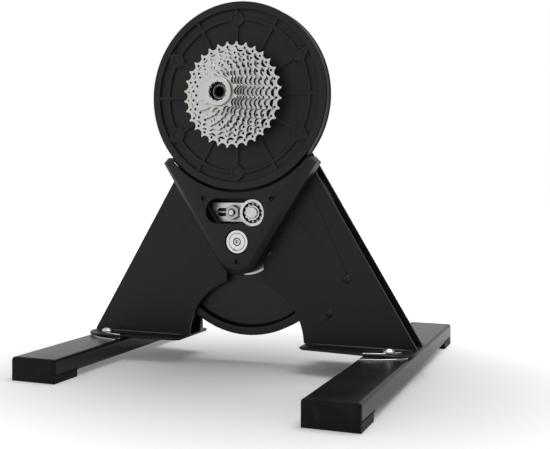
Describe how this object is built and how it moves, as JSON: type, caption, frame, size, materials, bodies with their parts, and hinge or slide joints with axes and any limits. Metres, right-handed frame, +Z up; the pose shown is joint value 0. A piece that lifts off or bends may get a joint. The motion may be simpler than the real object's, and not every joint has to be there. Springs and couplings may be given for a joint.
{
  "type": "direct drive bike trainer",
  "caption": "Direct drive indoor bike trainer with an A-frame, swivelling feet, a cassette on the hub, a belt drive and a braked flywheel.",
  "frame": {"origin": "on the floor, at the middle of the box round the part, midway between the feet along X", "axes": "+X towards the front of the bike, -Y the cassette side, +Z up; the hub axle runs along Y"},
  "size_m": [0.455, 0.495, 0.4665],
  "materials": {
    "frame_paint": "satin black powder coat",
    "foot_paint": "satin black powder coat",
    "black_plastic": "matte moulded plastic",
    "cast_black": "black coated casting",
    "sprocket_steel": "nickel plated, satin",
    "machined_alloy": "turned aluminium",
    "bright_steel": "polished zinc plate",
    "dark_steel": "blackened steel",
    "flywheel_iron": "painted cast iron with a smooth rim",
    "belt_rubber": "ribbed belt rubber",
    "foot_rubber": "matte rubber",
    "coil_copper": "enamelled copper wire",
    "board_green": "circuit board"
  },
  "bodies": {
    "stand": {"front_plate": "frame_paint", "back_plate": "frame_paint", "front_base_plate": "frame_paint", "rear_base_plate": "frame_paint", "frame_spacers": "dark_steel", "frame_bolts": "dark_steel", "frame_bolt_nuts": "dark_steel", "belt_cover": "black_plastic", "cover_screws": "dark_steel", "hub_axle": "dark_steel", "axle_spacers": "machined_alloy", "axle_nut": "bright_steel", "axle_end_sleeve": "black_plastic", "front_bearing_carrier": "machined_alloy", "rear_bearing_carrier": "machined_alloy", "carrier_bolts": "dark_steel", "shaft_bearings": "bright_steel", "brake_plate": "dark_steel", "brake_coils": "coil_copper", "control_box": "black_plastic", "control_box_lid": "black_plastic", "control_board": "board_green", "power_inlet": "black_plastic", "lid_screws": "dark_steel", "belt": "belt_rubber", "tensioner_pad": "dark_steel", "clamp_stud": "bright_steel", "clamp_nut": "bright_steel", "pivot_bolts": "dark_steel", "pivot_nuts": "dark_steel", "lock_washers": "bright_steel", "lock_bolts": "bright_steel"},
    "tensioner": {"tensioner_arm": "bright_steel", "adjuster_screw": "bright_steel", "idler_stud": "bright_steel", "idler_inner_race": "bright_steel"},
    "idler_cage": {"idler_balls": "bright_steel"},
    "idler": {"idler_outer_race": "bright_steel"},
    "flywheel_set": {"flywheel": "flywheel_iron", "flywheel_shaft": "bright_steel", "shaft_ring": "dark_steel", "small_pulley": "machined_alloy", "pulley_cap": "machined_alloy", "cap_screw": "bright_steel"},
    "hub": {"big_pulley": "cast_black", "hub_shell": "cast_black", "hub_bearings": "bright_steel"},
    "cassette": {"freehub_body": "machined_alloy", "freehub_bearings": "dark_steel", "large_sprockets": "sprocket_steel", "middle_sprockets": "sprocket_steel", "small_sprockets": "sprocket_steel", "sprocket_spacers": "machined_alloy", "lockring": "machined_alloy"},
    "front_foot": {"front_foot_bar": "foot_paint", "front_foot_caps": "foot_rubber", "front_swivel_pad": "bright_steel"},
    "rear_foot": {"rear_foot_bar": "foot_paint", "rear_foot_caps": "foot_rubber", "rear_swivel_pad": "bright_steel"}
  },
  "joints": [
    {"name": "flywheel_spin", "type": "hinge", "parent": "stand", "child": "flywheel_set", "pos_m": [0, 0, 0.162], "axis": [0, 1, 0], "continuous": true},
    {"name": "hub_spin", "type": "hinge", "parent": "stand", "child": "hub", "pos_m": [0, 0, 0.3475], "axis": [0, 1, 0], "continuous": true},
    {"name": "cassette_spin", "type": "hinge", "parent": "stand", "child": "cassette", "pos_m": [0, 0, 0.3475], "axis": [0, 1, 0], "continuous": true},
    {"name": "tensioner_slide", "type": "slide", "parent": "stand", "child": "tensioner", "axis": [-1, 0, 0], "range_m": [0, 0.004]},
    {"name": "idler_spin", "type": "hinge", "parent": "tensioner", "child": "idler", "pos_m": [0.0186, -0.0143, 0.199], "axis": [0, 1, 0], "continuous": true},
    {"name": "idler_cage_spin", "type": "hinge", "parent": "tensioner", "child": "idler_cage", "pos_m": [0.0186, -0.0143, 0.199], "axis": [0, 1, 0], "continuous": true},
    {"name": "front_foot_swivel", "type": "hinge", "parent": "stand", "child": "front_foot", "pos_m": [0.167, 0.0147, 0.02], "axis": [0, 0, 1], "range_deg": [-90, 0]},
    {"name": "rear_foot_swivel", "type": "hinge", "parent": "stand", "child": "rear_foot", "pos_m": [-0.167, 0.0223, 0.02], "axis": [0, 0, 1], "range_deg": [-90, 0]}
  ],
  "couplings": [
    {"joint": "hub_spin", "follows": "flywheel_spin", "ratio": 0.1179},
    {"joint": "idler_spin", "follows": "flywheel_spin", "ratio": 0.8059},
    {"joint": "idler_cage_spin", "follows": "flywheel_spin", "ratio": 0.494}
  ]
}
